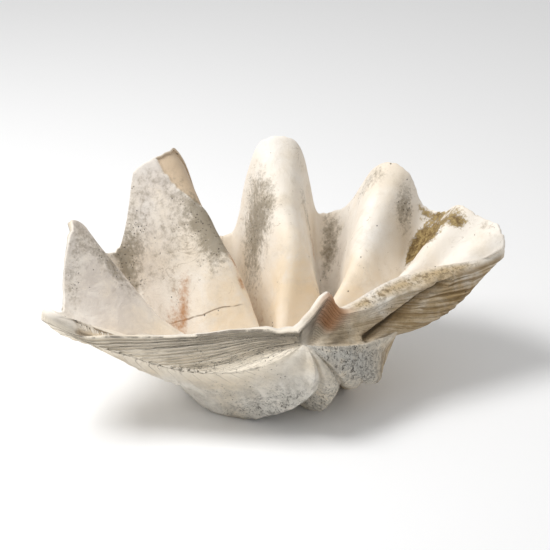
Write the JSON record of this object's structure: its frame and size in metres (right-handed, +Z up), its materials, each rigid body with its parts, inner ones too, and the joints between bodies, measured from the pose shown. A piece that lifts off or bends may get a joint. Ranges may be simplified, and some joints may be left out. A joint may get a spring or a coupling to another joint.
{
  "type": "giant clam shell valve",
  "caption": "Single valve of a giant clam lying hollow side up, its margin scalloped into tall rounded folds, with a thick hinge edge and a beak.",
  "frame": {"origin": "middle of the valve's footprint box, on the floor", "axes": "+X along the hinge line, from the left end to the right end seen from the hinge side; +Y from the hinge edge to the scalloped margin; +Z up, out of the hollow"},
  "size_m": [0.6046, 0.358, 0.2817],
  "materials": {
    "shell": "matte, chalky outside and faintly waxy inside"
  },
  "bodies": {
    "root": {"clam_valve": "shell"}
  },
  "joints": []
}
